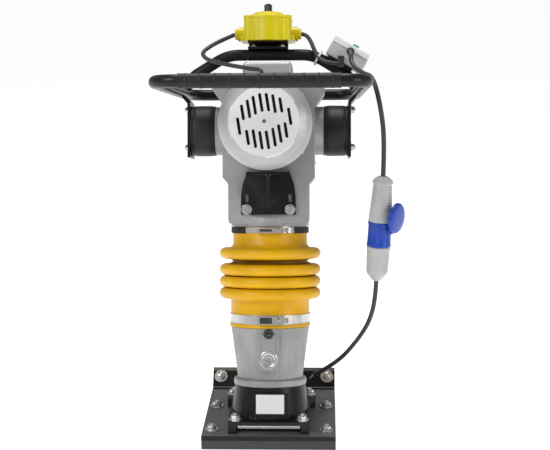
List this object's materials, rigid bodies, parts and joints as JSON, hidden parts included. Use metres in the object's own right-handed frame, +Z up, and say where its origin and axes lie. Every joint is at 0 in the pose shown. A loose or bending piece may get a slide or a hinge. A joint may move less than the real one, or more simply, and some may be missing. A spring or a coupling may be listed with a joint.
{
  "type": "jumping jack rammer",
  "caption": "Upright tamping rammer: flat sole, bellows, electric motor, rubber-mounted loop handle, switch box and a mated supply connector.",
  "frame": {"origin": "centre of the flat sole's underside", "axes": "+X to the operator's right, +Y forward towards the upturned toe, +Z up"},
  "size_m": [0.4953, 0.6081, 0.9135],
  "materials": {
    "sole_rubber": "matt",
    "black_paint": "semi-gloss",
    "zinc": "zinc plated",
    "cast_silver": "satin cast",
    "bright_steel": "machined",
    "yellow_rubber": "semi-gloss",
    "yellow_cast": "gloss",
    "black_rubber": "satin",
    "label_white": "smooth",
    "sight": "clear",
    "grey_plastic": "satin",
    "white_plastic": "satin",
    "blue_plastic": "gloss",
    "green_plastic": "gloss",
    "black_plastic": "satin",
    "copper": "stranded copper",
    "spring_steel": "spring steel",
    "winding": "laminations and windings"
  },
  "bodies": {
    "foot": {"sole_pad": "sole_rubber", "sole_plate": "black_paint", "sole_bolts": "zinc", "foot_casting": "black_paint", "foot_bolts": "zinc", "data_plate": "label_white", "lower_housing": "cast_silver", "sight_glass": "zinc", "drain_plug": "black_plastic", "spring_tube": "bright_steel", "lower_spring": "spring_steel", "upper_spring": "spring_steel", "lower_clamp": "zinc", "bellows": "yellow_rubber"},
    "upper_unit": {"piston_rod": "bright_steel", "guide_sleeve": "bright_steel", "upper_clamp": "zinc", "crankcase_housing": "cast_silver", "crankcase_cover": "cast_silver", "cover_screws": "zinc", "top_housing": "cast_silver", "motor_bracket": "black_paint", "bracket_bolts": "zinc", "shaft_bearings": "bright_steel", "motor_housing": "cast_silver", "motor_stator": "winding", "fan_cover": "cast_silver", "cover_rim_screws": "zinc", "terminal_box": "black_plastic"},
    "rotor": {"motor_rotor": "bright_steel", "motor_pinion": "bright_steel", "cooling_fan": "black_plastic"},
    "crank": {"crank_gear": "bright_steel"},
    "rod": {"connecting_rod": "bright_steel"},
    "handle": {"handle_loop": "black_paint", "grip_sleeve": "black_rubber", "arch_tube": "black_paint", "rubber_mount_left": "black_rubber", "rubber_mount_right": "black_rubber", "mount_plate_left": "black_paint", "mount_plate_right": "black_paint", "mount_bolts": "zinc", "bracket_nuts": "zinc", "switch_body": "yellow_cast", "switch_lid": "yellow_cast", "switch_glands": "yellow_cast", "isolator_case": "grey_plastic", "isolator_lid": "white_plastic", "isolator_glands": "black_plastic", "motor_lead": "black_rubber", "isolator_lead": "black_rubber", "supply_lead": "black_rubber", "coupling": "grey_plastic", "coupling_collar": "blue_plastic", "plug": "grey_plastic", "stub_lead": "black_rubber", "stub_cores": "copper"},
    "knob": {"switch_knob": "black_plastic"},
    "button": {"start_button": "green_plastic"},
    "cord_lid": {"coupling_lid": "blue_plastic"}
  },
  "joints": [
    {"name": "ram_stroke", "type": "slide", "parent": "foot", "child": "upper_unit", "axis": [0, 0.2079, 0.9781], "range_m": [0, 0.06], "deforming": ["bellows", "lower_spring", "upper_spring"]},
    {"name": "handle_rock", "type": "hinge", "parent": "upper_unit", "child": "handle", "pos_m": [0, 0.08962, 0.64395], "axis": [1, 0, 0], "range_deg": [-2, 2], "stiffness_Nm_per_rad": 3000, "deforming": ["motor_lead"]},
    {"name": "crank_turn", "type": "hinge", "parent": "upper_unit", "child": "crank", "pos_m": [0, 0.0733, 0.56717], "axis": [0, -0.9781, 0.2079], "continuous": true},
    {"name": "rotor_turn", "type": "hinge", "parent": "upper_unit", "child": "rotor", "pos_m": [0, 0.09045, 0.64787], "axis": [0, -0.9781, 0.2079], "continuous": true},
    {"name": "rod_turn", "type": "hinge", "parent": "crank", "child": "rod", "pos_m": [0, 0.06748, 0.53978], "axis": [0, -0.9781, 0.2079], "continuous": true},
    {"name": "knob_turn", "type": "hinge", "parent": "handle", "child": "knob", "pos_m": [-0.0055, 0.18936, 0.89674], "axis": [0, 0.2079, 0.9781], "range_deg": [0, 90]},
    {"name": "button_press", "type": "slide", "parent": "handle", "child": "button", "axis": [-0.5, -0.1801, -0.8471], "range_m": [0, 0.002], "stiffness_N_per_m": 600, "springref_m": -0.001},
    {"name": "lid_swing", "type": "hinge", "parent": "handle", "child": "cord_lid", "pos_m": [0.25962, -0.095, 0.45973], "axis": [0.4992, 0.866, -0.0277], "range_deg": [0, 90]}
  ],
  "couplings": [
    {"joint": "rotor_turn", "follows": "crank_turn", "ratio": -3.7143},
    {"joint": "rod_turn", "follows": "crank_turn", "ratio": -1}
  ]
}
